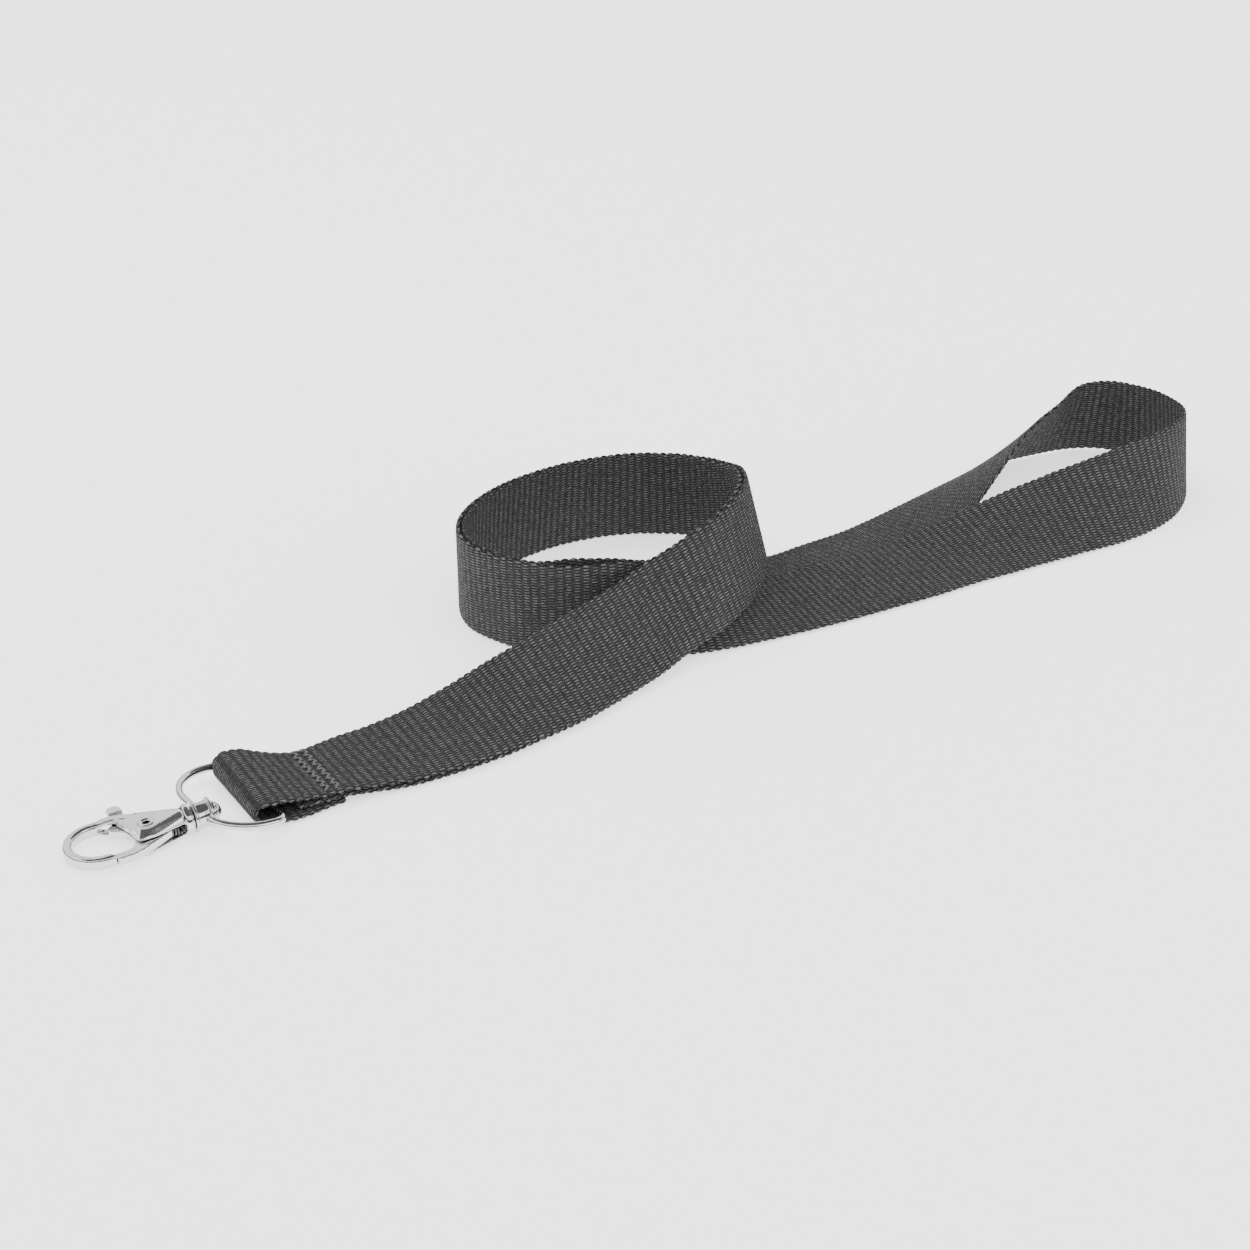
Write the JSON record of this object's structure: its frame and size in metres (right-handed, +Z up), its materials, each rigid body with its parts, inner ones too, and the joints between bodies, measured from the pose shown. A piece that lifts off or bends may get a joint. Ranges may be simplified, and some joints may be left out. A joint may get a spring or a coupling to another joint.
{
  "type": "lanyard",
  "caption": "Neck lanyard of doubled ribbed webbing, loosely coiled on a table, with a D-ring sewn in its end fold and a swivelling trigger hook.",
  "frame": {"origin": "middle of the footprint, on the surface that the lanyard lies on", "axes": "+X runs from the hook towards the far loop's side, its longest way; +Y across; +Z up from the surface"},
  "size_m": [0.2248, 0.1888, 0.0264],
  "materials": {
    "webbing": "dark grey ribbed polyester webbing, matt with a faint thread sheen",
    "thread": "grey polyester sewing thread, satin",
    "d_ring": "bright nickel plate on wire",
    "swivel": "bright nickel plate on turned steel",
    "hook": "bright nickel plate on a zinc casting",
    "lever": "bright nickel plate on a stamped lever",
    "spring": "spring wire"
  },
  "bodies": {
    "strap": {"webbing": "webbing", "needle_thread": "thread", "bobbin_thread": "thread"},
    "dee": {"d_ring": "d_ring", "swivel_barrel": "swivel"},
    "hook": {"hook_body": "hook", "swivel_post": "swivel", "swivel_washer": "swivel", "gate_pivot": "swivel", "gate_spring": "spring"},
    "trigger": {"gate_lever": "lever"}
  },
  "joints": [
    {"name": "d_ring_swing", "type": "hinge", "parent": "strap", "child": "dee", "pos_m": [-0.08105, -0.06977, 0.00215], "axis": [-0.5736, 0.8191, 0], "range_deg": [-60, 120]},
    {"name": "hook_swivel", "type": "hinge", "parent": "dee", "child": "hook", "pos_m": [-0.08906, -0.07974, 0.00308], "axis": [-0.8883, -0.4526, -0.0785], "continuous": true},
    {"name": "trigger_pivot", "type": "hinge", "parent": "hook", "child": "trigger", "pos_m": [-0.09794, -0.08427, 0.0023], "axis": [0.0699, 0.0356, -0.9969], "range_deg": [0, 25], "stiffness_Nm_per_rad": 0.02, "springref_deg": -17.19, "deforming": ["gate_spring"]}
  ]
}
